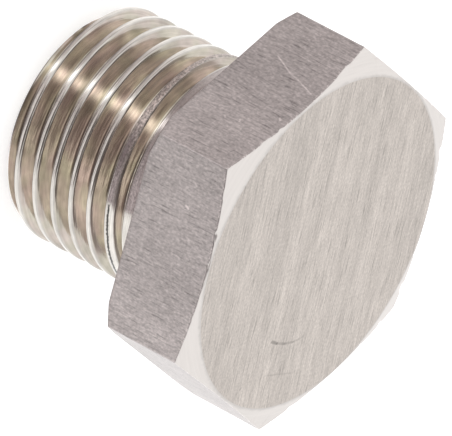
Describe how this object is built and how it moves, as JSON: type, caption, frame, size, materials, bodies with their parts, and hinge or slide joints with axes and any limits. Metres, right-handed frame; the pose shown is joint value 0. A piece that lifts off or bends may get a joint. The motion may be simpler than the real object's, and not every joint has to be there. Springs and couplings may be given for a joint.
{
  "type": "hex head pipe plug",
  "caption": "One-piece stainless plug with a hexagon head and a parallel pipe thread, for closing a G 1/8 port.",
  "frame": {"origin": "centre of the flat seat under the head, on the thread's axis", "axes": "+Z along the axis from the thread towards the outer face of the head; +X through a corner of the hexagon, +Y square to a flat"},
  "size_m": [0.0162, 0.014, 0.0119],
  "materials": {
    "stainless_steel": "straight-ground outer face, bright turned chamfer, drawn flats with fine lines, bright cut thread"
  },
  "bodies": {
    "root": {"pipe_plug": "stainless_steel"}
  },
  "joints": []
}
